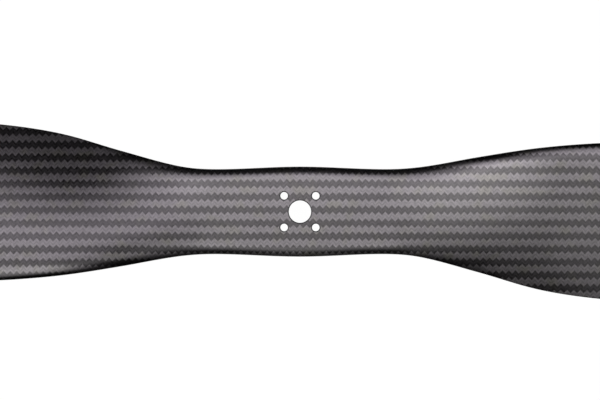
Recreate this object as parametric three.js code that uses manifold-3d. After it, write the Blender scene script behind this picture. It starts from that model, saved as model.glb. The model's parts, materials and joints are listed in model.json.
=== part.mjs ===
// A fixed-pitch, two-blade carbon-fibre propeller for a large multirotor drone.
//
// It is built as such a propeller is moulded: two twill skins that meet along the edges, two straps of
// unidirectional carbon that run from one blade through the hub into the other, a solid hub block that the
// screws clamp, and foam cores.
//
// Millimetres, +Z up along the spin axis. The origin is the middle of the hub, on that axis. The blades lie
// along X, the right one towards +X. Seen from above the propeller turns anticlockwise, so the right blade's
// leading edge faces +Y. The left blade is the right one turned half a turn about Z.

import * as THREE from "three";
import { mergeVertices } from "three/addons/utils/BufferGeometryUtils.js";
import Module from "manifold-3d";

const wasm = await Module();
wasm.setup();

// ---------------------------------------------------------------- driving dimensions

const diameter = 762;
const pitch = 267; // forward travel in one turn, which sets the twist
const bladeWidth = 71.5; // the widest plan width of a blade

const hubWidth = 40.2; // plan width at the bore
const waistWidth = 37.9; // plan width where the hub is narrowest
const waistRadius = 38;
const hubThickness = 10;
const hubEdgeWall = 1; // height of the upright wall between the hub's two rounded edges

const boreDiameter = 10;
const screwHoleDiameter = 3.4;
const screwCircleDiameter = 20;

const twistStart = 40; // the blade starts to turn out of the hub's plane at this radius
const twistFull = 116; // and has its whole pitch angle from this one
const foilStart = 34; // the slab of the hub starts to become a wing section
const foilFull = 106;
const fairingWidth = 16.5; // the hub's rounded edge spreads towards this width where it becomes a wing section
const camberRatio = 0.05; // height of the camber line, as a share of the chord
const edgeThickness = 0.9; // of the leading and trailing edges
const noseFullness = 1.5; // how much blunter than a plain wing section's the nose is
const noseReach = 0.15; // the share of the chord over which it is blunter
const tipThickness = 1.6;
const tipRounding = 24; // length of the elliptical tip
const tipSweep = 5; // how far the tip's end lies behind the blade's axis
const tipFacet = 0.12; // the tip ends in a facet this share of its width

const skinThickness = 0.4;
const bondLine = 0.2; // glue between neighbouring pieces
const noseLand = 1.5; // the skins touch over this width along the leading edge
const tailLand = 6; // and over this width along the trailing edge

const hubBlockLength = 60;
const doublerLength = 44;
const doublerThickness = 0.6;
const strapHubWidth = 22; // spar cap width in the hub
const strapTipWidth = 8;
const strapHubThickness = 0.8;
const strapTipThickness = 0.35;
const rovingWidth = 3;
const tailStripWidth = 5;

const tipBlockLength = 20;
const solidTipLength = 26; // the skins touch all over this last stretch of a blade

const hubEdgeRadius = (hubThickness - hubEdgeWall) / 2;
const tipRadius = diameter / 2;
const hubBlockEnd = hubBlockLength / 2;
const doublerEnd = doublerLength / 2;
const coreStart = hubBlockEnd + bondLine;
const cavityEnd = tipRadius - solidTipLength;
const tipBlockEnd = cavityEnd - bondLine;
const tipBlockStart = tipBlockEnd - tipBlockLength;
const coreEnd = tipBlockStart - bondLine;

// The blade outboard of the hub. Each point is at a share of the radius. The outlines are shares of the
// widest plan width, and the thickness is a share of the hub's.
const leadingEdgePlan = [
  [0.142, 0.279],
  [0.211, 0.34],
  [0.281, 0.394],
  [0.352, 0.425],
  [0.43, 0.434],
  [0.56, 0.408],
  [0.7, 0.345],
  [0.85, 0.25],
  [1, 0.135],
];
const trailingEdgePlan = [
  [0.142, 0.285],
  [0.211, 0.382],
  [0.281, 0.489],
  [0.352, 0.547],
  [0.42, 0.562],
  [0.56, 0.517],
  [0.7, 0.428],
  [0.85, 0.313],
  [1, 0.21],
];
const thicknessPlan = [
  [0.16, 0.97],
  [0.21, 0.94],
  [0.28, 0.9],
  [0.352, 0.84],
  [0.55, 0.62],
  [0.7, 0.48],
  [0.87, 0.32],
];

// ---------------------------------------------------------------- materials

const finish = (color, roughness, metalness) =>
  new THREE.MeshStandardMaterial({ color, roughness, metalness });

const materials = {
  twill: finish(0x66626a, 0.3, 0.2),
  strap: finish(0x2b2b2d, 0.5, 0.1),
  laminate: finish(0x1d1d1f, 0.6, 0),
  foam: finish(0xe9e3cf, 0.95, 0),
  balsa: finish(0xd9bb86, 0.9, 0),
};

// ---------------------------------------------------------------- curves of the blade

const { clamp, lerp, smoothstep } = THREE.MathUtils;

// A smooth curve through [position, value] points, level at both ends.
function curveThrough(points) {
  const slopes = points.map((point, i) => {
    const before = points[i - 1];
    const after = points[i + 1];
    return before && after ? (after[1] - before[1]) / (after[0] - before[0]) : 0;
  });
  return (at) => {
    if (at <= points[0][0]) return points[0][1];
    const next = points.findIndex((point) => point[0] > at);
    if (next < 0) return points.at(-1)[1];
    const [start, startValue] = points[next - 1];
    const [end, endValue] = points[next];
    const span = end - start;
    const t = (at - start) / span;
    const t2 = t * t;
    const t3 = t2 * t;
    return (
      (2 * t3 - 3 * t2 + 1) * startValue +
      (t3 - 2 * t2 + t) * span * slopes[next - 1] +
      (3 * t2 - 2 * t3) * endValue +
      (t3 - t2) * span * slopes[next]
    );
  };
}

// A half outline: the hub's bulge at the bore, its waist, and then the blade's own points.
const outline = (bladePoints) =>
  curveThrough([
    [0, hubWidth / 2],
    [waistRadius, waistWidth / 2],
    ...bladePoints.map(([share, width]) => [share * tipRadius, width * bladeWidth]),
  ]);

const leadingOutline = outline(leadingEdgePlan);
const trailingOutline = outline(trailingEdgePlan);
const thicknessAt = curveThrough([
  [0, hubThickness],
  [waistRadius, hubThickness],
  ...thicknessPlan.map(([share, thickness]) => [share * tipRadius, thickness * hubThickness]),
  [tipRadius, tipThickness],
]);

// The wing section's half thickness from nose (0) to tail (1), where 1 is the thickest.
function foilShape(along) {
  const plain =
    0.2969 * Math.sqrt(along) -
    0.126 * along -
    0.3516 * along ** 2 +
    0.2843 * along ** 3 -
    0.1036 * along ** 4;
  const nearNose = Math.max(0, 1 - along / noseReach);
  return 10 * plain + noseFullness * Math.sqrt(along) * nearNose ** 2;
}

// Everything that the cross-section at one radius depends on. lead and trail are the distances from the
// blade's axis to the two edges, along the turned chord.
function sectionAt(radius) {
  const foil = smoothstep(radius, foilStart, foilFull);
  const fullTwist = Math.atan2(pitch, 2 * Math.PI * Math.max(radius, twistStart));
  const twist = fullTwist * smoothstep(radius, twistStart, twistFull);
  const intoTip = Math.max(0, (radius - tipRadius + tipRounding) / tipRounding);
  const narrowing = Math.sqrt(1 - (1 - tipFacet ** 2) * intoTip ** 2);
  const lead = lerp(-tipSweep, leadingOutline(radius), narrowing) / Math.cos(twist);
  const trail = lerp(tipSweep, trailingOutline(radius), narrowing) / Math.cos(twist);
  return { radius, foil, twist, lead, trail, thickness: thicknessAt(radius) };
}

// The section's half thickness at a place s, measured from the blade's axis towards the leading edge.
function halfThickness(section, s) {
  const roundedWidth = lerp(hubEdgeRadius, fairingWidth, section.foil);
  const fromEdge = Math.min(section.lead - s, section.trail + s, roundedWidth);
  const rounding = Math.sqrt(1 - (1 - fromEdge / roundedWidth) ** 2);
  const slab = hubThickness / 2 - hubEdgeRadius * (1 - rounding);
  const along = (section.lead - s) / (section.lead + section.trail);
  const foil = lerp(edgeThickness / 2, section.thickness / 2, foilShape(along));
  return lerp(slab, foil, section.foil);
}

function camber(section, s) {
  const chord = section.lead + section.trail;
  const along = (section.lead - s) / chord;
  return section.foil * camberRatio * chord * 4 * along * (1 - along);
}

// The widths along the two edges where the skins touch, which are equal beside the hub.
function lands(section) {
  const most = (section.lead + section.trail) / 4;
  return {
    nose: Math.min(noseLand, most),
    tail: Math.min(lerp(noseLand, tailLand, section.foil), most),
  };
}

// A point of the propeller: s along the chord and t above it, in the section at x along the span.
function pointAt(x, section, s, t) {
  const y = s * Math.cos(section.twist) - t * Math.sin(section.twist);
  const z = s * Math.sin(section.twist) + t * Math.cos(section.twist);
  return x < 0 ? [x, -y, z] : [x, y, z];
}

// ---------------------------------------------------------------- stations along the span

// The cross-sections that every piece shares, closer together where the blade twists and at its tip.
function radiiOfStations() {
  const spread = (from, to, count, crowding = 1) =>
    Array.from({ length: count }, (_, i) => lerp(from, to, (i / count) ** crowding));
  const aroundTip = [0, 0.5, 0.9, 1.25]; // angles round the tip's ellipse
  return [
    ...spread(0, foilStart, 2),
    ...spread(foilStart, twistFull, 10),
    ...spread(twistFull, coreEnd, 8, 1.3),
    ...aroundTip.map((angle) => tipRadius - tipRounding * (1 - Math.sin(angle))),
    hubBlockEnd,
    coreStart,
    coreEnd,
    tipBlockStart,
    tipBlockEnd,
    cavityEnd,
    cavityEnd + bondLine,
    tipRadius,
  ].sort((a, b) => a - b);
}

const radii = radiiOfStations().filter((r, i, all) => i === 0 || r - all[i - 1] > 1e-6);
const stationsBetween = (from, to) =>
  [...radii.slice(1).reverse().map((r) => -r), ...radii].filter((x) => x >= from && x <= to);

// ---------------------------------------------------------------- solids

// A box with one segment for each station and column, whose every vertex is placed by
// place(x, column, upper). Columns run from the -Y side to the +Y side. The box's faces are numbered +X, -X,
// +Y, -Y, +Z, -Z, and those in turned get their diagonals turned, so that neighbouring pieces don't cross
// where the blade twists.
function bentBox(stations, columns, place, turned = [3, 5]) {
  const box = new THREE.BoxGeometry(1, 1, 1, stations.length - 1, columns, 1);
  const position = box.getAttribute("position");
  for (let i = 0; i < position.count; i++) {
    const station = Math.round((position.getX(i) + 0.5) * (stations.length - 1));
    const column = Math.round((position.getY(i) + 0.5) * columns);
    position.setXYZ(i, ...place(stations[station], column, position.getZ(i) > 0));
  }
  for (const { start, count } of turned.map((face) => box.groups[face])) {
    for (let i = start; i < start + count; i += 6) {
      const [a, b, d, , c] = box.index.array.slice(i, i + 6);
      box.index.array.set([a, b, c, a, c, d], i);
    }
  }
  return box;
}

// A piece inside the skins. edges(section) gives the places across the chord where it ends, as
// [behind, ahead], and faces(section, half) its lower and upper heights over the camber line, where half is
// half of the section's thickness.
function inlay(stations, columns, edges, faces) {
  return bentBox(stations, columns, (x, column, upper) => {
    const section = sectionAt(Math.abs(x));
    const [behind, ahead] = edges(section);
    const share = column / columns;
    const s = lerp(behind, ahead, x < 0 ? 1 - share : share);
    const [low, high] = faces(section, halfThickness(section, s));
    return pointAt(x, section, s, camber(section, s) + (upper ? high : low));
  });
}

// One of the two skins: side is 1 for the upper one and -1 for the lower. The first and last columns lie on
// the parting line, and those between follow the section, closer together at the edges.
function skin(side) {
  const columns = 20;
  const steps = columns - 2;
  const closest = 0.02; // the inner face's least height over the glue line
  const place = (x, column, upper) => {
    const section = sectionAt(Math.abs(x));
    const outer = upper === side > 0;
    const { nose, tail } = lands(section);
    const ahead = section.lead - (outer ? 0 : nose);
    const behind = -section.trail + (outer ? 0 : tail);
    const step = clamp(column - 1, 0, steps);
    const across = (1 - Math.cos((Math.PI * step) / steps)) / 2;
    const s = lerp(behind, ahead, x < 0 ? 1 - across : across);
    const onParting = column === 0 || column === columns;
    const half = halfThickness(section, s);
    const inside = section.radius > cavityEnd ? 0 : half - skinThickness;
    const height = outer ? half : Math.max(inside, bondLine / 2 + closest);
    const t = camber(section, s) + side * (onParting ? bondLine / 2 : height);
    return pointAt(x, section, s, t);
  };
  const turned = side > 0 ? [3, 5] : [2, 5]; // gives both skins' lands the same diagonals
  return bentBox(stationsBetween(-tipRadius, tipRadius), columns, place, turned);
}

function cylinder(radius, height, segments) {
  const geometry = new THREE.CylinderGeometry(radius, radius, height, segments);
  return geometry.rotateX(Math.PI / 2);
}

function solidOf(geometry) {
  const bare = geometry.clone();
  bare.deleteAttribute("normal");
  bare.deleteAttribute("uv");
  const merged = mergeVertices(bare, 1e-4);
  return new wasm.Manifold(
    new wasm.Mesh({
      numProp: 3,
      vertProperties: merged.getAttribute("position").array,
      triVerts: new Uint32Array(merged.index.array),
    }),
  );
}

function geometryOf(solid) {
  const { vertProperties, triVerts, numProp } = solid.getMesh();
  const geometry = new THREE.BufferGeometry();
  const values = new THREE.InterleavedBuffer(vertProperties, numProp);
  geometry.setAttribute("position", new THREE.InterleavedBufferAttribute(values, 3, 0));
  geometry.setIndex(new THREE.BufferAttribute(triVerts, 1));
  const loose = geometry.toNonIndexed();
  loose.computeVertexNormals();
  return loose;
}

// The centre bore and the four screw holes, as one set of cutters through the hub.
function drills() {
  const height = hubThickness * 2;
  const boreSides = 48;
  const screwHoleSides = 24;
  const screwCircleRadius = screwCircleDiameter / 2;
  const holes = [0, 1, 2, 3].map((quarter) => {
    const angle = Math.PI / 4 + (quarter * Math.PI) / 2;
    const [x, y] = [Math.cos(angle), Math.sin(angle)].map((v) => v * screwCircleRadius);
    return solidOf(cylinder(screwHoleDiameter / 2, height, screwHoleSides).translate(x, y, 0));
  });
  return holes.reduce(
    (all, hole) => all.add(hole),
    solidOf(cylinder(boreDiameter / 2, height, boreSides)),
  );
}

const drilled = (solid) => geometryOf(solid.subtract(drills()));

// ---------------------------------------------------------------- inner pieces

// 0 over the hub block, and 1 where the spar caps end near the tip.
const outward = (section) => Math.max(0, (section.radius - hubBlockEnd) / (coreEnd - hubBlockEnd));
const capHalfWidth = (section) => lerp(strapHubWidth, strapTipWidth, outward(section)) / 2;
const capThickness = (section) =>
  lerp(strapHubThickness, strapTipThickness, outward(section));

// Depths under the propeller's surface.
const underSkin = skinThickness + bondLine;
const underCap = (section) => underSkin + capThickness(section) + bondLine;
const underDoubler = (section) => underCap(section) + doublerThickness + bondLine;

// The faces of a layer between two depths under the surface on one side.
const layer = (side, shallow, deep) => (section, half) => {
  const heights = [side * (half - deep(section)), side * (half - shallow(section))];
  return side > 0 ? heights : heights.reverse();
};

// The faces of a piece that lies as deep under both surfaces.
const between = (depth) => (section, half) => [depth(section) - half, half - depth(section)];

const capEdges = (clearance) => (section) => {
  const half = capHalfWidth(section) + clearance;
  return [-half, half];
};

const sparCap = (side) =>
  inlay(
    stationsBetween(-coreEnd, coreEnd),
    4,
    capEdges(0),
    layer(side, () => underSkin, (section) => underSkin + capThickness(section)),
  );

const doubler = (side) =>
  inlay(
    [-doublerEnd, doublerEnd],
    1,
    capEdges(0),
    layer(side, underCap, (section) => underCap(section) + doublerThickness),
  );

// The space between the skins, less a glue line, from the trailing edge's land to the leading edge's.
const cavityEdges = (section) => {
  const { nose, tail } = lands(section);
  return [-section.trail + tail + bondLine, section.lead - nose - bondLine];
};

// The hub block fills the hub's cavity. A channel in both faces takes a spar cap, and a pocket in the
// channel's floor takes a doubler.
function hubBlock() {
  const openAir = () => -hubThickness;
  const pocketEnd = doublerEnd + bondLine;
  const recesses = [1, -1].flatMap((side) => [
    inlay([-coreStart, coreStart], 1, capEdges(bondLine), layer(side, openAir, underCap)),
    inlay([-pocketEnd, pocketEnd], 1, capEdges(bondLine), layer(side, openAir, underDoubler)),
  ]);
  const stations = stationsBetween(-hubBlockEnd, hubBlockEnd);
  const block = inlay(stations, 14, cavityEdges, between(() => underSkin));
  return recesses.reduce((solid, recess) => solid.subtract(solidOf(recess)), solidOf(block));
}

// The pieces that fill one blade, from its leading edge to its trailing edge.
const bladePieces = [
  {
    name: "nose_roving",
    columns: 2,
    material: materials.strap,
    depth: () => underSkin,
    edges: (section) => {
      const front = cavityEdges(section)[1];
      return [front - rovingWidth, front];
    },
  },
  {
    name: "nose_core",
    columns: 3,
    material: materials.foam,
    depth: () => underSkin,
    edges: (section) => [
      capHalfWidth(section) + bondLine,
      cavityEdges(section)[1] - rovingWidth - bondLine,
    ],
  },
  {
    name: "spar_web",
    columns: 4,
    material: materials.balsa,
    depth: underCap,
    edges: capEdges(0),
  },
  {
    name: "tail_core",
    columns: 3,
    material: materials.foam,
    depth: () => underSkin,
    edges: (section) => [
      cavityEdges(section)[0] + tailStripWidth + bondLine,
      -capHalfWidth(section) - bondLine,
    ],
  },
  {
    name: "tail_strip",
    columns: 1,
    material: materials.strap,
    depth: () => underSkin,
    edges: (section) => {
      const back = cavityEdges(section)[0];
      return [back, back + tailStripWidth];
    },
  },
];

const tipBlock = (from, to) =>
  inlay(stationsBetween(from, to), 6, cavityEdges, between(() => underSkin));

// ---------------------------------------------------------------- the assembly

function part(name, geometry, material) {
  const mesh = new THREE.Mesh(geometry, material);
  mesh.name = name;
  return mesh;
}

const propeller = new THREE.Group();
propeller.name = "propeller";

for (const [word, side] of [
  ["upper", 1],
  ["lower", -1],
]) {
  propeller.add(
    part(`${word}_skin`, drilled(solidOf(skin(side))), materials.twill),
    part(`${word}_spar_cap`, drilled(solidOf(sparCap(side))), materials.strap),
    part(`${word}_hub_doubler`, drilled(solidOf(doubler(side))), materials.laminate),
  );
}
propeller.add(part("hub_block", drilled(hubBlock()), materials.laminate));

for (const [hand, direction] of [
  ["left", -1],
  ["right", 1],
]) {
  const reach = (...ends) => ends.map((end) => end * direction).sort((a, b) => a - b);
  for (const { name, columns, material, depth, edges } of bladePieces) {
    const stations = stationsBetween(...reach(coreStart, coreEnd));
    const geometry = inlay(stations, columns, edges, between(depth));
    propeller.add(part(`${hand}_${name}`, geometry, material));
  }
  const block = tipBlock(...reach(tipBlockStart, tipBlockEnd));
  propeller.add(part(`${hand}_tip_block`, block, materials.laminate));
}

export default propeller;
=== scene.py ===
"""A fixed-pitch, two-blade carbon-fibre propeller.

The two moulded skins are made here by Geometry Nodes, from the blade's own laws: its plan outline, thickness,
twist and camber. Everything inside them is a part of the frame that gets its finish here.

Sums in the trees are in millimetres. The origin is the middle of the hub, on the spin axis, and the blades
lie along X. The left blade is the right one turned half a turn about Z.
"""

import json
import math

import bpy
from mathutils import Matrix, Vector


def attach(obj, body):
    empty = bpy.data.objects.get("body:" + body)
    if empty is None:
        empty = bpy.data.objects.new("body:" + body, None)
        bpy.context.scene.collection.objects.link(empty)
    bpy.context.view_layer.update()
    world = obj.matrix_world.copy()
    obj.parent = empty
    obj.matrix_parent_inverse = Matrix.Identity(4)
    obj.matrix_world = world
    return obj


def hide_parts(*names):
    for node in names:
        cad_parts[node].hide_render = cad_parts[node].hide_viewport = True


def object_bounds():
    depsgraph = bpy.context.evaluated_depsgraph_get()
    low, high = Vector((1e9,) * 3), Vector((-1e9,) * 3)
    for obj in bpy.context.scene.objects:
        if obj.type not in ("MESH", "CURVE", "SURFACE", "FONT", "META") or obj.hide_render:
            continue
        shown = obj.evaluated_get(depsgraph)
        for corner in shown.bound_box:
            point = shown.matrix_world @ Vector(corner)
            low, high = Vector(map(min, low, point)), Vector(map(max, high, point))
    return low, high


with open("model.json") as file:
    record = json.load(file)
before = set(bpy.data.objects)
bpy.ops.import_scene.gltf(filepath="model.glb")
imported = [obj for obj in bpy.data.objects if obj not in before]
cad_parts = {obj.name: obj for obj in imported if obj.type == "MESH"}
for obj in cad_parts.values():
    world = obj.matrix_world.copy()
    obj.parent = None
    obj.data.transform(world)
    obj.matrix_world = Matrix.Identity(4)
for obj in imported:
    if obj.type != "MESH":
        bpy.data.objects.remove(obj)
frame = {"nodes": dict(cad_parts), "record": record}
cad_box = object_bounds()

MM = 0.001
LIGHT_LEVEL = 2.3  # radiance of the lit part of the studio, against 1 for the light table

# ---------------------------------------------------------------- sizes of the propeller, in millimetres

TIP_RADIUS = max(abs(cad_box[0].x), abs(cad_box[1].x)) / MM
PITCH = 267
BLADE_WIDTH = 71.5
HUB_WIDTH = 40.2
WAIST_WIDTH = 37.9
WAIST_RADIUS = 38
HUB_THICKNESS = 10
HUB_EDGE_WALL = 1
TIP_THICKNESS = 1.6

BORE_RADIUS = 5
SCREW_HOLE_RADIUS = 1.7
SCREW_CIRCLE_RADIUS = 10
RIM_CHAMFER = 0.42
DRILLED_RADIUS = 14  # all the holes lie inside this one

SKIN_THICKNESS = 0.4
PARTING_GAP = 0.03  # between the two skins, where they meet
WELD_DISTANCE = 0.002  # points of a skin closer than this become one
CREASE_ANGLE = 35  # in degrees; edges bent more than this stay sharp

EDGE_DISTANCE = "edge_distance"  # the name of the points' distance from the blade's nearer edge

# Points along the radius. The outlines are shares of the widest plan width, the thickness of the hub's.
LEADING_PLAN = [
    (0.142, 0.279),
    (0.211, 0.34),
    (0.281, 0.394),
    (0.352, 0.425),
    (0.43, 0.434),
    (0.56, 0.408),
    (0.7, 0.345),
    (0.85, 0.25),
    (1, 0.135),
]
TRAILING_PLAN = [
    (0.142, 0.285),
    (0.211, 0.382),
    (0.281, 0.489),
    (0.352, 0.547),
    (0.42, 0.562),
    (0.56, 0.517),
    (0.7, 0.428),
    (0.85, 0.313),
    (1, 0.21),
]
THICKNESS_PLAN = [
    (0, 1),
    (WAIST_RADIUS / TIP_RADIUS, 1),
    (0.16, 0.97),
    (0.21, 0.94),
    (0.28, 0.9),
    (0.352, 0.84),
    (0.55, 0.62),
    (0.7, 0.48),
    (0.87, 0.32),
    (1, TIP_THICKNESS / HUB_THICKNESS),
]


def outline(blade_points):
    """A half outline: the hub's bulge at the bore, its waist, and then the blade's own points."""
    hub = (0, HUB_WIDTH / 2 / BLADE_WIDTH)
    waist = (WAIST_RADIUS / TIP_RADIUS, WAIST_WIDTH / 2 / BLADE_WIDTH)
    return [hub, waist, *blade_points]


def curve_through(points):
    """A smooth curve through (position, value) points, level at both ends."""
    slopes = [0.0] * len(points)
    for i in range(1, len(points) - 1):
        before, after = points[i - 1], points[i + 1]
        slopes[i] = (after[1] - before[1]) / (after[0] - before[0])

    def value_at(place):
        last = len(points) - 2
        i = next((i for i in range(last + 1) if place < points[i + 1][0]), last)
        (start, start_value), (end, end_value) = points[i], points[i + 1]
        span = end - start
        t = (place - start) / span
        return (
            (2 * t**3 - 3 * t**2 + 1) * start_value
            + (t**3 - 2 * t**2 + t) * span * slopes[i]
            + (3 * t**2 - 2 * t**3) * end_value
            + (t**3 - t**2) * span * slopes[i + 1]
        )

    return value_at


# ---------------------------------------------------------------- sums inside node trees


class Term:
    """A number inside a node tree. A sum of terms becomes Math nodes."""

    def __init__(self, tree, socket):
        self.tree = tree
        self.socket = socket

    def __add__(self, other):
        return maths(self.tree, "ADD", self, other)

    def __sub__(self, other):
        return maths(self.tree, "SUBTRACT", self, other)

    def __mul__(self, other):
        return maths(self.tree, "MULTIPLY", self, other)

    def __truediv__(self, other):
        return maths(self.tree, "DIVIDE", self, other)

    def __pow__(self, other):
        return maths(self.tree, "POWER", self, other)

    def __radd__(self, other):
        return maths(self.tree, "ADD", other, self)

    def __rsub__(self, other):
        return maths(self.tree, "SUBTRACT", other, self)

    def __rmul__(self, other):
        return maths(self.tree, "MULTIPLY", other, self)

    def __rtruediv__(self, other):
        return maths(self.tree, "DIVIDE", other, self)

    def __lt__(self, other):
        return maths(self.tree, "LESS_THAN", self, other)

    def __gt__(self, other):
        return maths(self.tree, "GREATER_THAN", self, other)

    def do(self, operation, *others):
        return maths(self.tree, operation, self, *others)


def plug(tree, socket, value):
    """Links a term or a socket to an input, or writes a plain value into it."""
    if isinstance(value, Term):
        value = value.socket
    if isinstance(value, bpy.types.NodeSocket):
        tree.links.new(value, socket)
    else:
        socket.default_value = value


def add_node(tree, kind, inputs=None, **settings):
    """A new node with its settings, and its inputs plugged by name or number."""
    node = tree.nodes.new(kind)
    for name, value in settings.items():
        setattr(node, name, value)
    for name, value in (inputs or {}).items():
        plug(tree, node.inputs[name], value)
    return node


def maths(tree, operation, *values):
    """The result of one Math node, as a term."""
    node = add_node(tree, "ShaderNodeMath", dict(enumerate(values)), operation=operation)
    return Term(tree, node.outputs[0])


def ramp(term, low, high, kind="SMOOTHSTEP"):
    """0 where term is below low, 1 above high, and smooth or straight between."""
    inputs = {"Value": term, "From Min": low, "From Max": high}
    node = add_node(term.tree, "ShaderNodeMapRange", inputs, interpolation_type=kind)
    return Term(term.tree, node.outputs["Result"])


def blend(a, b, share):
    """a where share is 0 and b where it is 1."""
    return a + (b - a) * share


def axes_of(tree, vector):
    """The X, Y and Z of a vector, as terms."""
    node = add_node(tree, "ShaderNodeSeparateXYZ", {0: vector})
    return [Term(tree, output) for output in node.outputs]


def vector_of(tree, x, y, z):
    """A vector from its X, Y and Z, which may be terms or numbers."""
    return add_node(tree, "ShaderNodeCombineXYZ", {"X": x, "Y": y, "Z": z}).outputs[0]


def new_tree(name, kind, inputs, outputs):
    """An empty node group with named sockets. inputs and outputs hold (name, type, default value) rows."""
    tree = bpy.data.node_groups.new(name, kind)
    for in_out, rows in (("INPUT", inputs), ("OUTPUT", outputs)):
        for row_name, socket_type, value in rows:
            socket = tree.interface.new_socket(row_name, in_out=in_out, socket_type=socket_type)
            if value is not None:
                socket.default_value = value
    entry = tree.nodes.new("NodeGroupInput")
    end = tree.nodes.new("NodeGroupOutput")
    return tree, entry.outputs, end.inputs


FLOAT, INT = "NodeSocketFloat", "NodeSocketInt"
VECTOR = "NodeSocketVector"
GEOMETRY, MATERIAL = "NodeSocketGeometry", "NodeSocketMaterial"


# ---------------------------------------------------------------- the moulded skins


def follow_plan(share, points):
    """The value of a plan curve where share is the place along the radius."""
    node = add_node(share.tree, "ShaderNodeFloatCurve", {"Value": share})
    curve = node.mapping.curves[0]
    law = curve_through(points)
    samples = 60
    for i in range(1, samples):
        curve.points.new(i / samples, law(i / samples))
    curve.points[0].location = (0, law(0))
    curve.points[-1].location = (1, law(1))
    node.mapping.update()
    return Term(share.tree, node.outputs[0])


def keep_edge_distance(tree, geometry, distance, selection=True):
    """Keeps the points' distance from the blade's nearer edge, in millimetres, for the material to read."""
    inputs = {"Geometry": geometry, "Selection": selection, "Name": EDGE_DISTANCE, "Value": distance}
    return add_node(
        tree, "GeometryNodeStoreNamedAttribute", inputs, data_type="FLOAT", domain="POINT"
    ).outputs[0]


def drill_tree():
    """A drill with a 45 degree countersink, to be cut out of a face that lies at Face height."""
    tree, given, result = new_tree(
        "countersunk drill",
        "GeometryNodeTree",
        [
            ("Radius", FLOAT, SCREW_HOLE_RADIUS),
            ("Face height", FLOAT, HUB_THICKNESS / 2),
            ("Chamfer", FLOAT, RIM_CHAMFER),
            ("Sides", INT, 64),
            ("Material", MATERIAL, None),
        ],
        [("Geometry", GEOMETRY, None)],
    )
    reach = 1.0  # the shank starts this far below the countersink, and the cone ends this far above
    radius = Term(tree, given["Radius"])
    shank = add_node(
        tree,
        "GeometryNodeMeshCylinder",
        {
            "Vertices": given["Sides"],
            "Side Segments": 2,
            "Radius": radius * MM,
            "Depth": 2 * reach * MM,
        },
    )
    x, y, z = axes_of(tree, tree.nodes.new("GeometryNodeInputPosition").outputs[0])
    flare = 1 + (z > reach / 2 * MM) * reach / radius  # only the top ring spreads
    rise = (Term(tree, given["Face height"]) - given["Chamfer"]) * MM
    place = vector_of(tree, x * flare, y * flare, z + rise)
    shaped = add_node(
        tree, "GeometryNodeSetPosition", {"Geometry": shank.outputs["Mesh"], "Position": place}
    )
    painted = add_node(
        tree,
        "GeometryNodeSetMaterial",
        {"Geometry": shaped.outputs[0], "Material": given["Material"]},
    )
    plug(tree, result["Geometry"], painted.outputs[0])
    return tree


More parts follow.
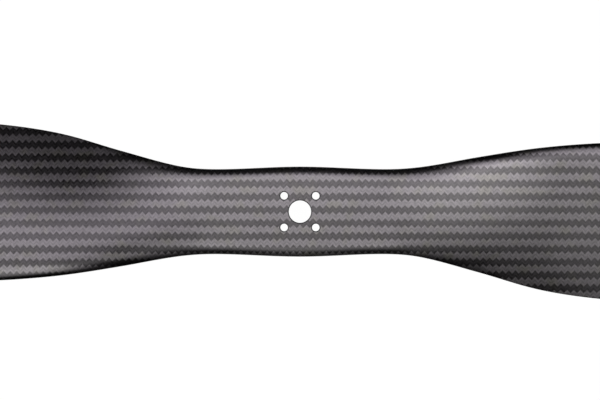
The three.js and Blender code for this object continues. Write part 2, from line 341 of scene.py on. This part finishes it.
def skin_tree(one_drill):
    """One of the two skins, as a closed shell from the leading edge to the trailing edge and from tip to tip.

    Its outer face follows the blade's section, and its inner face lies a skin's thickness below, or on the
    parting line where the blade is thinner than that. Side is 1 for the upper skin and -1 for the lower.
    """
    tree, given, result = new_tree(
        "moulded skin",
        "GeometryNodeTree",
        [
            ("Side", FLOAT, 1),
            ("Stations", INT, 440),
            ("Columns", INT, 121),
            ("Tip radius", FLOAT, TIP_RADIUS),
            ("Blade width", FLOAT, BLADE_WIDTH),
            ("Pitch", FLOAT, PITCH),
            ("Hub thickness", FLOAT, HUB_THICKNESS),
            ("Hub edge wall", FLOAT, HUB_EDGE_WALL),
            ("Blade edge thickness", FLOAT, 0.9),
            ("Nose fullness", FLOAT, 1.5),
            ("Nose reach", FLOAT, 0.15),
            ("Camber", FLOAT, 0.05),
            ("Twist starts", FLOAT, 40),
            ("Twist is full", FLOAT, 116),
            ("Foil starts", FLOAT, 34),
            ("Foil is full", FLOAT, 106),
            ("Fairing width", FLOAT, 16.5),
            ("Tip rounding", FLOAT, 24),
            ("Tip sweep", FLOAT, 5),
            ("Tip facet", FLOAT, 0.12),
            ("Solid tip", FLOAT, 26),
            ("Skin thickness", FLOAT, SKIN_THICKNESS),
            ("Parting gap", FLOAT, PARTING_GAP),
            ("Bore radius", FLOAT, BORE_RADIUS),
            ("Screw hole radius", FLOAT, SCREW_HOLE_RADIUS),
            ("Screw circle radius", FLOAT, SCREW_CIRCLE_RADIUS),
            ("Rim chamfer", FLOAT, RIM_CHAMFER),
            ("Face material", MATERIAL, None),
            ("Cut material", MATERIAL, None),
        ],
        [("Geometry", GEOMETRY, None)],
    )

    def size(name):
        return Term(tree, given[name])

    grid = add_node(
        tree,
        "GeometryNodeMeshGrid",
        {"Size X": 2, "Size Y": 1, "Vertices X": given["Stations"], "Vertices Y": given["Columns"]},
    )
    along, across, _ = axes_of(tree, tree.nodes.new("GeometryNodeInputPosition").outputs[0])

    # The last station at each tip repeats the one before and shrinks to a point, which closes the shell.
    last_step = 2 / (size("Stations") - 1)
    out = along.do("ABSOLUTE")
    closing = out > 1 - last_step / 2
    reach = (out / (1 - last_step)).do("MINIMUM", 1)
    share = 0.5 * reach + 0.5 * (reach * (math.pi / 2)).do("SINE")
    hand = 1 - 2 * (along < 0)
    radius = share * size("Tip radius")

    # The section's own measures at this radius.
    foil = ramp(radius, size("Foil starts"), size("Foil is full"))
    turned_from = radius.do("MAXIMUM", size("Twist starts"))
    full_twist = size("Pitch").do("ARCTAN2", turned_from * math.tau)
    twist = full_twist * ramp(radius, size("Twist starts"), size("Twist is full"))
    sine, cosine = twist.do("SINE"), twist.do("COSINE")
    into_tip = ((radius - size("Tip radius")) / size("Tip rounding") + 1).do("MAXIMUM", 0)
    narrowing = (1 - (1 - size("Tip facet") ** 2) * into_tip**2).do("SQRT")
    lead_plan = follow_plan(share, outline(LEADING_PLAN)) * size("Blade width")
    trail_plan = follow_plan(share, outline(TRAILING_PLAN)) * size("Blade width")
    lead = blend(size("Tip sweep") * -1, lead_plan, narrowing) / cosine
    trail = blend(size("Tip sweep"), trail_plan, narrowing) / cosine
    thickness = follow_plan(share, THICKNESS_PLAN) * size("Hub thickness")
    chord = lead + trail

    # The columns go over the outer face from edge to edge, and come back over the inner one.
    outer_share = 0.8  # of the columns
    column = across + 0.5
    outer = column < outer_share + 1e-4  # with a little to spare, so that rounding loses no column
    sweep = (column / outer_share).do("MINIMUM", (1 - column) / (1 - outer_share))
    turn = (sweep * math.pi).do("COSINE") * hand
    from_lead = chord * (1 - turn) / 2
    s = lead - from_lead
    ahead = from_lead / chord

    # Half of the section's thickness: the hub's slab with rounded edges, and the wing section. The wing
    # follows the usual four-digit law, scaled to 1 at its thickest, with a blunter nose.
    edge_radius = (size("Hub thickness") - size("Hub edge wall")) / 2
    from_edge = from_lead.do("MINIMUM", chord - from_lead).do("MAXIMUM", 0)

    def rounding(width):
        return (1 - (1 - from_edge / width).do("MAXIMUM", 0) ** 2).do("SQRT")

    spread = rounding(blend(edge_radius, size("Fairing width"), foil))
    slab = size("Hub edge wall") / 2 + edge_radius * spread
    wing = 10 * (
        0.2969 * ahead.do("SQRT")
        - 0.126 * ahead
        - 0.3516 * ahead**2
        + 0.2843 * ahead**3
        - 0.1036 * ahead**4
    )
    near_nose = (1 - ahead / size("Nose reach")).do("MAXIMUM", 0)
    wing = wing + size("Nose fullness") * ahead.do("SQRT") * near_nose**2
    blade_edge = size("Blade edge thickness") / 2
    wing_half = blend(blade_edge, thickness / 2, wing)
    edge = blend(size("Hub edge wall") / 2, blade_edge, foil)
    half = blend(slab, wing_half, foil) - edge * (1 - rounding(edge))

    hollow = radius < size("Tip radius") - size("Solid tip")
    under = (half - size("Skin thickness")) * hollow
    height = blend(under, half, outer).do("MAXIMUM", size("Parting gap") / 2)
    camber_line = foil * size("Camber") * chord * 4 * ahead * (1 - ahead)
    t = camber_line + size("Side") * height
    middle = (lead - trail) / 2
    s = blend(s, middle, closing)
    t = blend(t, camber_line, closing)

    place = vector_of(
        tree,
        hand * radius * MM,
        hand * (s * cosine - t * sine) * MM,
        (s * sine + t * cosine) * MM,
    )
    measured = keep_edge_distance(tree, grid.outputs["Mesh"], from_edge)
    bent = add_node(tree, "GeometryNodeSetPosition", {"Geometry": measured, "Position": place})
    closed = add_node(
        tree,
        "GeometryNodeMergeByDistance",
        {"Geometry": bent.outputs[0], "Distance": WELD_DISTANCE * MM},
    )
    # The grid's winding faces outwards on the upper skin only.
    lower = add_node(
        tree,
        "FunctionNodeCompare",
        {"A": given["Side"], "B": 0.0},
        data_type="FLOAT",
        operation="LESS_THAN",
    )
    facing = add_node(
        tree,
        "GeometryNodeFlipFaces",
        {"Mesh": closed.outputs[0], "Selection": lower.outputs[0]},
    )
    faced = add_node(
        tree,
        "GeometryNodeSetMaterial",
        {"Geometry": facing.outputs[0], "Material": given["Face material"]},
    )

    def drill(radius_name, sides):
        inputs = {
            "Radius": given[radius_name],
            "Face height": size("Hub thickness") / 2,
            "Chamfer": given["Rim chamfer"],
            "Sides": sides,
            "Material": given["Cut material"],
        }
        return add_node(tree, "GeometryNodeGroup", inputs, node_tree=one_drill).outputs[0]

    circle = add_node(
        tree,
        "GeometryNodeMeshCircle",
        {"Vertices": 4, "Radius": size("Screw circle radius") * MM},
    )
    turned_circle = add_node(
        tree,
        "GeometryNodeTransform",
        {"Geometry": circle.outputs[0], "Rotation": (0, 0, math.radians(45))},
    )
    screw_drills = add_node(
        tree,
        "GeometryNodeInstanceOnPoints",
        {"Points": turned_circle.outputs[0], "Instance": drill("Screw hole radius", sides=72)},
    )
    drills = tree.nodes.new("GeometryNodeJoinGeometry")
    for socket in (drill("Bore radius", sides=144), screw_drills.outputs[0]):
        tree.links.new(socket, drills.inputs[0])
    sided = add_node(
        tree,
        "GeometryNodeTransform",
        {
            "Geometry": drills.outputs[0],
            "Rotation": vector_of(tree, (1 - size("Side")) * (math.pi / 2), 0, 0),
        },
    )
    whole_drills = add_node(tree, "GeometryNodeRealizeInstances", {"Geometry": sided.outputs[0]})
    cut = add_node(
        tree,
        "GeometryNodeMeshBoolean",
        {"Mesh 1": faced.outputs[0], "Mesh 2": whole_drills.outputs[0]},
        operation="DIFFERENCE",
        solver="EXACT",
    )
    # The new points at the holes have no distance of their own yet.
    x, y, _ = axes_of(tree, tree.nodes.new("GeometryNodeInputPosition").outputs[0])
    drilled = x**2 + y**2 < (DRILLED_RADIUS * MM) ** 2
    remeasured = keep_edge_distance(tree, cut.outputs[0], DRILLED_RADIUS, drilled)
    edge_angle = Term(tree, tree.nodes.new("GeometryNodeInputMeshEdgeAngle").outputs[0])
    smooth = add_node(
        tree,
        "GeometryNodeSetShadeSmooth",
        {
            "Geometry": remeasured,
            "Selection": edge_angle > math.radians(CREASE_ANGLE),
            "Shade Smooth": False,
        },
        domain="EDGE",
    )
    whole = add_node(tree, "GeometryNodeRealizeInstances", {"Geometry": smooth.outputs[0]})
    plug(tree, result["Geometry"], whole.outputs[0])
    return tree


def grown(name, tree, **values):
    """A finished mesh object from a Geometry Nodes tree, with the named inputs set."""
    piece = bpy.data.objects.new(name, bpy.data.meshes.new(name))
    bpy.context.scene.collection.objects.link(piece)
    modifier = piece.modifiers.new("nodes", "NODES")
    modifier.node_group = tree
    for socket in tree.interface.items_tree:
        if socket.item_type == "SOCKET" and socket.in_out == "INPUT" and socket.name in values:
            modifier[socket.identifier] = values[socket.name]
    evaluated = piece.evaluated_get(bpy.context.evaluated_depsgraph_get())
    mesh = bpy.data.meshes.new_from_object(evaluated)
    piece.modifiers.remove(modifier)
    piece.data = mesh
    mesh.name = name
    return piece


# ---------------------------------------------------------------- shared effects


def object_place(tree):
    """The point on the piece, in millimetres."""
    place = tree.nodes.new("ShaderNodeTexCoord").outputs["Object"]
    return add_node(
        tree, "ShaderNodeVectorMath", {0: place, "Scale": 1 / MM}, operation="SCALE"
    ).outputs[0]


def twill_group():
    """Two-by-two twill laid at 45 degrees, seen from above, with a crossing of four tows at the hub's middle.

    Each tow goes over two and under two, and each row is one step on, so the floats of one tow family line
    up in a zigzag band along X. Across runs from 0 to 1 over the width of a band, and Crown is 1 on the two
    shoulders of a tow and 0 along its middle and its sides.
    """
    tree, given, result = new_tree(
        "twill cloth",
        "ShaderNodeTree",
        [("Place", VECTOR, None), ("Tow width", FLOAT, 2.068), ("Fibres per tow", FLOAT, 3.4)],
        [
            ("Upper tow", FLOAT, None),
            ("Across", FLOAT, None),
            ("Crown", FLOAT, None),
            ("Tow tone", FLOAT, None),
            ("Fibre", FLOAT, None),
        ],
    )
    x, y, _ = axes_of(tree, given["Place"])
    scale = math.sqrt(0.5) / Term(tree, given["Tow width"])
    a = (x + y) * scale
    b = (y - x) * scale
    row_a, row_b = a.do("FLOOR"), b.do("FLOOR")
    in_a, in_b = a - row_a, b - row_b
    crossing = 3  # the step of the cell at the hub's middle
    step = (row_a + row_b + crossing).do("FLOORED_MODULO", 4)
    upper = step < 1.5
    odd = step.do("FLOORED_MODULO", 2)
    across = blend(in_a.do("MINIMUM", in_b), in_a.do("MAXIMUM", in_b), odd)
    other_family = 200  # keeps the tones of one tow family clear of the other's
    row = blend(row_a + 0.5, row_b + 0.5 + other_family, upper)
    tone = add_node(tree, "ShaderNodeTexWhiteNoise", {"W": row}, noise_dimensions="1D")
    crown = 0.5 - 0.5 * (across * (4 * math.pi)).do("COSINE")
    along_tow, cell_shift = 0.8, 3.1
    cell = (a + b).do("FLOOR") * cell_shift
    strand = vector_of(tree, x * along_tow, across * given["Fibres per tow"], cell)
    fibre = add_node(
        tree,
        "ShaderNodeTexNoise",
        {"Vector": strand, "Scale": 1.0, "Detail": 2.0, "Roughness": 0.6},
        noise_dimensions="3D",
    )
    plug(tree, result["Upper tow"], upper)
    plug(tree, result["Across"], across)
    plug(tree, result["Crown"], crown)
    plug(tree, result["Tow tone"], tone.outputs["Value"])
    plug(tree, result["Fibre"], fibre.outputs[0])
    return tree


def streak_group():
    """Long streaks along X, as in unidirectional fibre and in wood."""
    tree, given, result = new_tree(
        "streaks",
        "ShaderNodeTree",
        [("Place", VECTOR, None), ("Fineness", FLOAT, 4), ("Stretch", FLOAT, 40)],
        [("Streak", FLOAT, None)],
    )
    x, y, z = axes_of(tree, given["Place"])
    finer = Term(tree, given["Fineness"])
    drawn = vector_of(tree, x * finer / given["Stretch"], y * finer, z * finer)
    noise = add_node(
        tree,
        "ShaderNodeTexNoise",
        {"Vector": drawn, "Scale": 1.0, "Detail": 4.0, "Roughness": 0.65},
    )
    plug(tree, result["Streak"], noise.outputs[0])
    return tree


def mottle_group():
    """Slow unevenness of a resin surface, its patches of warmer tint, and the small dimples in it."""
    tree, given, result = new_tree(
        "resin mottle",
        "ShaderNodeTree",
        [
            ("Place", VECTOR, None),
            ("Patch size", FLOAT, 18),
            ("Tint size", FLOAT, 7),
            ("Dimple size", FLOAT, 1.4),
        ],
        [("Patch", FLOAT, None), ("Tint", FLOAT, None), ("Dimple", FLOAT, None)],
    )
    effects = (("Patch", "Patch size", 3.0), ("Tint", "Tint size", 1.0), ("Dimple", "Dimple size", 1.0))
    for name, size_name, detail in effects:
        noise = add_node(
            tree,
            "ShaderNodeTexNoise",
            {
                "Vector": given["Place"],
                "Scale": 1 / Term(tree, given[size_name]),
                "Detail": detail,
                "Roughness": 0.5,
            },
        )
        plug(tree, result[name], noise.outputs[0])
    return tree


def use_group(tree, group, **inputs):
    """The outputs of a shader group, with its inputs plugged by name."""
    node = add_node(tree, "ShaderNodeGroup", node_tree=group)
    for name, value in inputs.items():
        plug(tree, node.inputs[name.replace("_", " ")], value)
    return node.outputs


twill = twill_group()
streaks = streak_group()
mottle = mottle_group()

# ---------------------------------------------------------------- materials


def new_material(name, **settings):
    """A material with one Principled shader, whose plain values are set by socket name."""
    material = bpy.data.materials.new(name)
    material.use_nodes = True
    shader = material.node_tree.nodes["Principled BSDF"]
    for socket_name, value in settings.items():
        shader.inputs[socket_name.replace("_", " ")].default_value = value
    return material, material.node_tree, shader


def mix_color(tree, share, low, high):
    """The low colour where share is 0, and the high one where it is 1."""
    low, high = ((*color, 1) if isinstance(color, tuple) else color for color in (low, high))
    share_input, low_input, high_input = 0, 6, 7  # the Mix node has such inputs for other types as well
    inputs = {share_input: share, low_input: low, high_input: high}
    return add_node(tree, "ShaderNodeMix", inputs, data_type="RGBA").outputs[2]


def shade(tree, color, factor):
    """A colour times a number."""
    node = add_node(tree, "ShaderNodeVectorMath", {0: color, "Scale": factor}, operation="SCALE")
    return node.outputs[0]


def raise_surface(tree, shader, height, distance):
    """Bumps as high as distance, in millimetres, where height is 1."""
    bump = add_node(
        tree, "ShaderNodeBump", {"Height": height, "Distance": distance * MM, "Strength": 1.0}
    )
    tree.links.new(bump.outputs[0], shader.inputs["Normal"])


def twill_material():
    """Carbon twill under a clear gloss coat.

    The two tow families are painted in two tones, a painted sheen on one and painted shade on the other. The
    tones stand in for the way their fibres turn the light in different directions.
    """
    material, tree, shader = new_material(
        "clear-coated twill",
        Metallic=0.9,
        Coat_Weight=1.0,
        Coat_Roughness=0.05,
        Coat_IOR=1.5,
    )
    # Painted sheen and painted shade: the same fibre in a lit tone and a shaded tone, one for each tow
    # family.
    shaded_tow_tone, sheen_tow_tone = (0.0285, 0.0278, 0.0285), (0.0865, 0.0843, 0.0865)
    plain, warm = (1.0, 1.0, 1.0), (0.98, 1.0, 0.88)

    place = object_place(tree)
    cloth = use_group(tree, twill, Place=place)
    resin = use_group(tree, mottle, Place=place)
    upper = Term(tree, cloth["Upper tow"])
    fibre = Term(tree, cloth["Fibre"]) - 0.5
    tone = Term(tree, cloth["Tow tone"]) - 0.5
    patch = Term(tree, resin["Patch"]) - 0.5

    # The upper tows get the painted sheen tone, the others the painted shade tone.
    color = mix_color(tree, upper, shaded_tow_tone, sheen_tow_tone)
    hue = mix_color(tree, ramp(Term(tree, resin["Tint"]), 0.5, 0.72), plain, warm)
    tinted = add_node(tree, "ShaderNodeVectorMath", {0: color, 1: hue}, operation="MULTIPLY")

    # The tow's sides and its two shoulders carry painted shade on a dark tow and a painted highlight on a
    # light one, each by its own share. Its fibres stand out from it by one share on a dark tow and by another
    # on a light one.
    rim = ramp((Term(tree, cloth["Across"]) - 0.5).do("ABSOLUTE"), 0.3, 0.5)
    detail = (
        rim * blend(-0.18, 0.12, upper)
        + Term(tree, cloth["Crown"]) * blend(-0.4, 0.3, upper)
        + fibre * blend(2.3, 1.6, upper)
    )
    strength = 1 + detail + 0.08 * tone + 0.12 * patch

    # The outermost strip is darker. Along every edge there is a narrow strip of dark resin without fibres.
    # Where the hub becomes the blade there is a broader band of painted shade, and it is broader still along
    # the trailing edge, which is on the side where X and Y have opposite signs.
    narrow, shade_leading, shade_trailing = 0.8, 2.0, 5.0
    x, y, _ = axes_of(tree, place)
    outward = x.do("ABSOLUTE")
    shoulder = ramp(outward, 45, 65) * ramp(outward, 98, 78)
    width = narrow + blend(shade_leading, shade_trailing, x * y < 0) * shoulder
    distance = add_node(tree, "ShaderNodeAttribute", attribute_name=EDGE_DISTANCE).outputs["Fac"]
    # Painted shade and resin: the darkening is real resin over the narrow strip, and painted shade over the
    # broader band near the hub.
    resin_edge_and_shade = 1 - ramp(Term(tree, distance), 0, width)
    strength = strength * (1 - 0.7 * resin_edge_and_shade)

    tree.links.new(shade(tree, tinted.outputs[0], strength), shader.inputs["Base Color"])
    plug(tree, shader.inputs["Coat Weight"], 1 - 0.75 * resin_edge_and_shade)
    plug(tree, shader.inputs["Roughness"], 0.48 + 0.1 * fibre + 0.06 * patch)
    raise_surface(tree, shader, 0.15 * fibre - rim + 0.3 * Term(tree, resin["Dimple"]), 0.02)
    return material


def laminate_material(name, low, high):
    """Solid carbon laminate with a machined surface, where the plies show as thin level lines."""
    material, tree, shader = new_material(name)
    place = object_place(tree)
    _, _, z = axes_of(tree, place)
    resin = use_group(tree, mottle, Place=place)
    patch = Term(tree, resin["Patch"])
    ply_thickness, waviness = 0.22, 0.25
    ply = ((z + waviness * patch) / ply_thickness).do("FRACT")
    line = ramp((ply - 0.5).do("ABSOLUTE"), 0.36, 0.5)
    color = mix_color(tree, line, low, high)
    strength = 0.8 + 0.4 * patch
    tree.links.new(shade(tree, color, strength), shader.inputs["Base Color"])
    plug(tree, shader.inputs["Roughness"], 0.5 + 0.2 * line)
    raise_surface(tree, shader, line + Term(tree, resin["Dimple"]), 0.02)
    return material


def streaked_material(name, low, high, fineness, rough, depth):
    """Unidirectional carbon or balsa, with its grain along the blade."""
    material, tree, shader = new_material(name)
    place = object_place(tree)
    grain = use_group(tree, streaks, Place=place, Fineness=fineness)
    resin = use_group(tree, mottle, Place=place)
    streak = ramp(Term(tree, grain["Streak"]), 0.3, 0.7, "LINEAR")
    color = mix_color(tree, streak, low, high)
    patch = Term(tree, resin["Patch"])
    tree.links.new(shade(tree, color, 0.85 + 0.3 * patch), shader.inputs["Base Color"])
    plug(tree, shader.inputs["Roughness"], rough + 0.15 * (patch - 0.5))
    raise_surface(tree, shader, streak, depth)
    return material


def foam_material():
    """Closed-cell foam, with paler cells and darker walls."""
    material, tree, shader = new_material("rigid foam")
    place = object_place(tree)
    cells_per_millimetre = 2.2
    cells = add_node(tree, "ShaderNodeTexVoronoi", {"Vector": place, "Scale": cells_per_millimetre})
    resin = use_group(tree, mottle, Place=place)
    edge = ramp(Term(tree, cells.outputs["Distance"]), 0.1, 0.7)
    color = mix_color(tree, edge, (0.84, 0.79, 0.66), (0.66, 0.6, 0.47))
    strength = 0.9 + 0.2 * Term(tree, resin["Patch"])
    tree.links.new(shade(tree, color, strength), shader.inputs["Base Color"])
    plug(tree, shader.inputs["Roughness"], 0.85 + 0.1 * edge)
    raise_surface(tree, shader, edge * -1, 0.12)
    return material


def floor_material():
    """A light table: white, evenly lit from inside, so that no shadow falls on it."""
    material, tree, shader = new_material("light table", Roughness=1.0, Emission_Strength=1.0)
    shader.inputs["Specular IOR Level"].default_value = 0
    shader.inputs["Base Color"].default_value = (0.02, 0.02, 0.02, 1)
    resin = use_group(tree, mottle, Place=object_place(tree), Patch_size=60.0)
    glow = mix_color(tree, resin["Patch"], (1.0, 1.0, 1.0), (0.985, 0.985, 0.985))
    tree.links.new(glow, shader.inputs["Emission Color"])
    return material


# ---------------------------------------------------------------- making the propeller

twill_face = twill_material()
cut_edge = laminate_material(
    "machined laminate", low=(0.012, 0.012, 0.013), high=(0.035, 0.034, 0.036)
)
strap = streaked_material(
    "carbon strap",
    low=(0.02, 0.02, 0.022),
    high=(0.075, 0.073, 0.078),
    fineness=6.0,
    rough=0.42,
    depth=0.02,
)
balsa = streaked_material(
    "balsa", low=(0.52, 0.36, 0.2), high=(0.8, 0.62, 0.4), fineness=2.5, rough=0.8, depth=0.06
)
foam = foam_material()

skins = skin_tree(drill_tree())
for word, side in (("upper", 1.0), ("lower", -1.0)):
    values = {"Side": side, "Face material": twill_face, "Cut material": cut_edge}
    skin = grown(f"moulded_{word}_skin", skins, **values)
    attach(skin, "root")
    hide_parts(f"{word}_skin")

finishes = {
    "carbon_strap": strap,
    "laminate": cut_edge,
    "foam": foam,
    "balsa": balsa,
    "carbon_twill": twill_face,
}
for subpart in frame["record"]["subparts"]:
    cad_node = frame["nodes"][subpart["node"]]
    cad_node.data.materials.clear()
    cad_node.data.materials.append(finishes[subpart["material_slot"]])

# ---------------------------------------------------------------- stage, light and camera


def add_floor(height, half_size):
    """The light table. It casts no shadow, and it isn't mirrored in the propeller."""
    mesh = bpy.data.meshes.new("floor")
    corners = [(-1, -1), (1, -1), (1, 1), (-1, 1)]
    vertices = [(x * half_size, y * half_size, height) for x, y in corners]
    mesh.from_pydata(vertices, [], [(0, 1, 2, 3)])
    floor = bpy.data.objects.new("floor", mesh)
    mesh.materials.append(floor_material())
    bpy.context.scene.collection.objects.link(floor)
    floor.visible_glossy = False
    floor.visible_shadow = False


def add_panel(height, near_edge, far_edge, fade_in, fade_out, length, radiance, color):
    """A softbox that hangs over the +Y side of the hub, and fades out towards its long edges."""
    light = bpy.data.lights.new("softbox", "AREA")
    light.shape = "RECTANGLE"
    light.size, light.size_y = length, far_edge - near_edge
    light.energy = radiance * math.pi * light.size * light.size_y
    light.use_nodes = True
    tree = light.node_tree
    place = tree.nodes.new("ShaderNodeNewGeometry").outputs["Position"]
    _, y, _ = axes_of(tree, place)
    strength = ramp(y, near_edge, near_edge + fade_in) * ramp(y, far_edge, far_edge - fade_out)
    plug(tree, tree.nodes["Emission"].inputs["Strength"], strength)
    light.color = color
    softbox = bpy.data.objects.new("softbox", light)
    softbox.location = (0, (near_edge + far_edge) / 2, height)
    softbox.visible_camera = False
    bpy.context.scene.collection.objects.link(softbox)


def set_world(seen, color):
    """A pale backdrop for the camera, and for everything else a soft light overhead, brighter towards -X.

    The light is a wide strip, turned a little from X, that fades out to both sides and at its ends. A faint
    glow comes from below. All angles are in degrees from straight up.
    """
    world = bpy.data.worlds.new("studio")
    world.use_nodes = True
    tree = world.node_tree
    background = tree.nodes["Background"]
    x, y, z = axes_of(tree, tree.nodes.new("ShaderNodeTexCoord").outputs["Generated"])
    degree = math.radians(1)
    angle_x = x.do("ARCTAN2", z) / degree
    angle_y = y.do("ARCTAN2", z) / degree
    turn = math.radians(-10)
    along = angle_x * math.cos(turn) + angle_y * math.sin(turn)
    aside = angle_y * math.cos(turn) - angle_x * math.sin(turn)
    strip = ramp(aside, 19, -13) * ramp(aside, -84, -27) * ramp(along.do("ABSOLUTE"), 78, 42)
    slope = (1 - 0.03 * along).do("MAXIMUM", 0)
    glow = 0.15 * ramp(z, -0.75, -0.95)
    strength = strip * slope * LIGHT_LEVEL + glow
    lit = shade(tree, (*color,), strength)
    camera_ray = tree.nodes.new("ShaderNodeLightPath").outputs["Is Camera Ray"]
    shown = mix_color(tree, camera_ray, lit, (seen, seen, seen))
    tree.links.new(shown, background.inputs["Color"])
    bpy.context.scene.world = world


def add_camera(distance, width, centre):
    """A camera straight above the hub, that sees the given width at the hub's height."""
    data = bpy.data.cameras.new("camera")
    data.sensor_width = 36
    data.lens = data.sensor_width * distance / width
    camera = bpy.data.objects.new("camera", data)
    camera.location = (centre[0], centre[1], distance)
    bpy.context.scene.collection.objects.link(camera)
    bpy.context.scene.camera = camera


# The stage's measures are in metres.
add_floor(height=cad_box[0].z, half_size=3.0)
add_panel(
    height=0.15,
    near_edge=-0.021,
    far_edge=0.265,
    fade_in=0.066,
    fade_out=0.229,
    length=1.2,
    radiance=0.92 * LIGHT_LEVEL,
    color=(1.0, 0.92, 1.01),
)
set_world(seen=1.0, color=(1.0, 0.955, 0.975))
add_camera(distance=2.4, width=0.2679, centre=(0.00002, 0.0052))
bpy.context.scene.view_settings.view_transform = "Standard"
